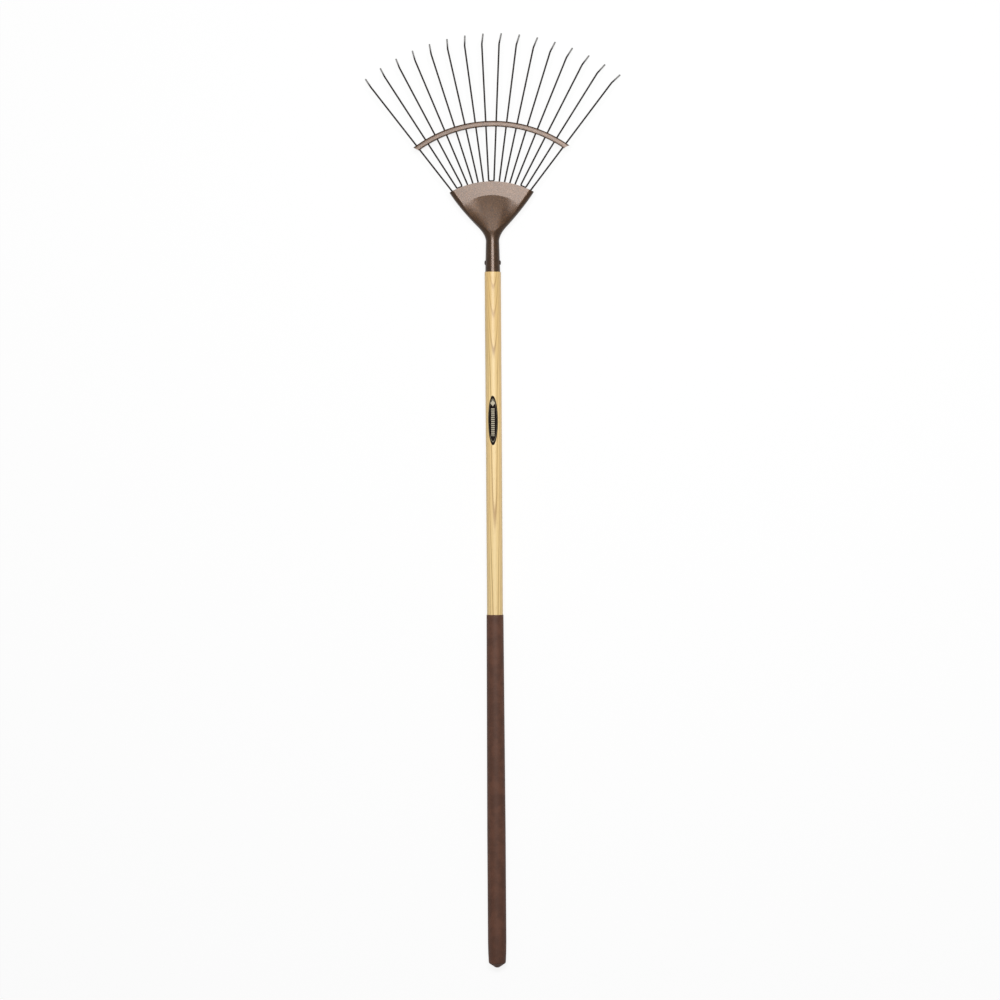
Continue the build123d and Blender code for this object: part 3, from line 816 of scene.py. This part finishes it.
def make_hairpin(side, first):
    """A wire up one tip, in along its spoke, round the bend at the lip, and out again beside it."""
    legs = [[
        tip_end(angle),
        spoke(ELBOW_RADIUS, 0, angle),
        spoke(arc_distance(angle, LIP_REACH, LIP_ARC) + HAIRPIN_PAST_LIP, 0, angle),
    ] for angle in (tine_angle(first), tine_angle(first + 1))]
    bends = [TIP_BEND, HAIRPIN_BEND, HAIRPIN_BEND, TIP_BEND]
    upward = np.array([0.0, 0.0, 1.0])
    piece = make_wire(f"wire_pair_{side}", legs[0] + legs[1][::-1], bends, upward)
    return finish_piece(piece, f"hairpin_{side}", ROW)


# ---- brace --------------------------------------------------------------------------------------


def make_brace():
    """Channel section (distance from the arc's own centre, height) swept round it. The angle at which
    it ends grows with that distance, which bevels the ends."""
    outer, inner = BRACE_ARC, BRACE_ARC - BRACE_WIDTH
    behind = BRACE_ARC - BRACE_REACH
    top, foot = brace_high.z, brace_low.z
    wall = BRACE_SHEET
    corners = [
        ((outer + inner) / 2, top, 0), (outer, top, 0), (outer, foot, 0), (outer - wall, foot, 0),
        (outer - wall, top - wall, 0), (inner + wall, top - wall, 0), (inner + wall, foot, 0),
        (inner, foot, 0), (inner, top, 0), ((outer + inner) / 2, top, 0),
    ]
    bends = [BRACE_OUTER_ROUND] + [BRACE_EDGE] * 6 + [BRACE_INNER_ROUND]
    section = rounded(corners, bends, 6)[:-1, :2]
    distance, height = section.T
    far = arc_distance(BRACE_HALF_ANGLE, BRACE_REACH, BRACE_ARC)
    near = far - BRACE_WIDTH
    near_angle = BRACE_HALF_ANGLE - BRACE_END_BEVEL
    ends = [np.arctan2(d * np.sin(a), d * np.cos(a) + behind)
            for d, a in ((near, near_angle), (far, BRACE_HALF_ANGLE))]
    end = ends[0] + (ends[1] - ends[0]) * (distance - inner) / (outer - inner)
    turn = np.linspace(-1, 1, BRACE_SLICES)[:, None] * end[None, :]
    rings = np.stack([distance * np.sin(turn), FAN_Y - behind + distance * np.cos(turn),
                      np.broadcast_to(height, turn.shape)], axis=-1)
    rows, columns, _ = rings.shape
    points = rings.reshape(-1, 3)
    index = np.arange(rows * columns).reshape(rows, columns)
    walls = grid_faces(rows, columns, True)
    faces = [walls, index[:1, ::-1], index[-1:]]
    piece = solid("brace_channel", points, faces, BRONZE_COAT)
    return finish_piece(piece, "brace_bar", ROW)


# ---- the rake -----------------------------------------------------------------------------------

make_shaft()
make_sleeve()
make_label()
make_rivet()
make_head()
make_brace()
paired = {index for first in HAIRPINS.values() for index in (first, first + 1)}
for number in range(1, TINE_COUNT + 1):
    if number not in paired:
        make_single_tine(number)
for side_name, first_tine in HAIRPINS.items():
    make_hairpin(side_name, first_tine)

back_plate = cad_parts["back_plate"]
back_plate.data.materials.clear()
back_plate.data.materials.append(BRONZE_COAT)


# ---- floor, light and camera --------------------------------------------------------------------


FLOOR_HALF = 12.0
FLOOR_GREY = 0.92
FLOOR_GLOW = 0.88             # share of plain white that the camera sees in the floor
AMBIENT = 0.20
KEY_PLACE, KEY_TARGET = (0.32, 0.84, 3.0), (0.1, 0.40, 0.0)
KEY_WIDTH, KEY_HEIGHT, KEY_POWER = 1.84, 0.78, 92.0
SENSOR_WIDTH = 36.0
CAMERA_DISTANCE = 6.8
CAMERA_OVER = np.radians(6.0)        # how far it stands to the right of straight above
CAMERA_LEAN = np.radians(0.38)
VIEW_WIDTH = 1.6407
VIEW_TARGET = Vector((0.0100, -0.0004, 0.02))
FAR_CLIP = 60.0


def make_floor():
    """A flat square that the camera sees as nearly white, and that keeps the rake's shadow."""
    h = FLOOR_HALF
    mesh = bpy.data.meshes.new("floor")
    mesh.from_pydata([(-h, -h, 0), (h, -h, 0), (h, h, 0), (-h, h, 0)], [], [(0, 1, 2, 3)])
    floor = bpy.data.objects.new("floor", mesh)
    bpy.context.scene.collection.objects.link(floor)
    matt = Finish("floor", Base_Color=(FLOOR_GREY, FLOOR_GREY, FLOOR_GREY, 1), Roughness=1.0,
                  Specular_IOR_Level=0.0)
    surface = Value(matt, matt.shader.outputs[0])
    glow = matt.node("ShaderNodeEmission")
    seen = matt.node("ShaderNodeMixShader",
                     inputs={0: matt.ray("Is Camera Ray") * FLOOR_GLOW, 1: surface, 2: glow})
    matt.tree.links.new(seen.socket, matt.tree.nodes["Material Output"].inputs["Surface"])
    mesh.materials.append(matt.material)


def aim(thing, place, target, up=(0, 1, 0)):
    """Put a lamp or camera at a place, looking at a target, with up as its picture's upward way."""
    back = (Vector(place) - Vector(target)).normalized()
    right = Vector(up).cross(back).normalized()
    turn = Matrix((right, back.cross(right), back)).transposed()
    thing.matrix_world = Matrix.Translation(place) @ turn.to_4x4()


def make_lamp(name, place, target, width, height, power):
    """A rectangular lamp."""
    light = bpy.data.lights.new(name, "AREA")
    light.shape = "RECTANGLE"
    light.size = width
    light.size_y = height
    light.energy = power
    lamp = bpy.data.objects.new(name, light)
    bpy.context.scene.collection.objects.link(lamp)
    aim(lamp, place, target)


def make_world(ambient):
    """White to the camera, in gloss and through glass; elsewhere a faint even light."""
    world = bpy.data.worlds.new("studio")
    bpy.context.scene.world = world
    sky = Nodes(world)
    white = sky.ray("Is Camera Ray").most(sky.ray("Is Glossy Ray")).most(sky.ray("Is Transmission Ray"))
    strength = white * (1 - ambient) + ambient
    background = sky.tree.nodes["Background"]
    background.inputs["Color"].default_value = (1, 1, 1, 1)
    sky.tree.links.new(strength.socket, background.inputs["Strength"])


def make_camera():
    """Above the rake, a little to its right, so that the tips show beside their elbows; turned so that
    the shaft leans as a rake laid down by hand does."""
    place = VIEW_TARGET + CAMERA_DISTANCE * Vector((np.sin(CAMERA_OVER), 0, np.cos(CAMERA_OVER)))
    data = bpy.data.cameras.new("camera")
    data.sensor_width = SENSOR_WIDTH
    data.lens = SENSOR_WIDTH * CAMERA_DISTANCE / VIEW_WIDTH
    data.clip_end = FAR_CLIP
    camera = bpy.data.objects.new("camera", data)
    bpy.context.scene.collection.objects.link(camera)
    right = Vector((np.cos(CAMERA_OVER), 0, -np.sin(CAMERA_OVER)))
    up = right * np.sin(CAMERA_LEAN) + Vector((0, np.cos(CAMERA_LEAN), 0))
    aim(camera, place, VIEW_TARGET, up)
    bpy.context.scene.camera = camera


make_floor()
make_world(AMBIENT)
make_lamp("key", KEY_PLACE, KEY_TARGET, KEY_WIDTH, KEY_HEIGHT, KEY_POWER)
make_camera()
bpy.context.scene.view_settings.view_transform = "Standard"
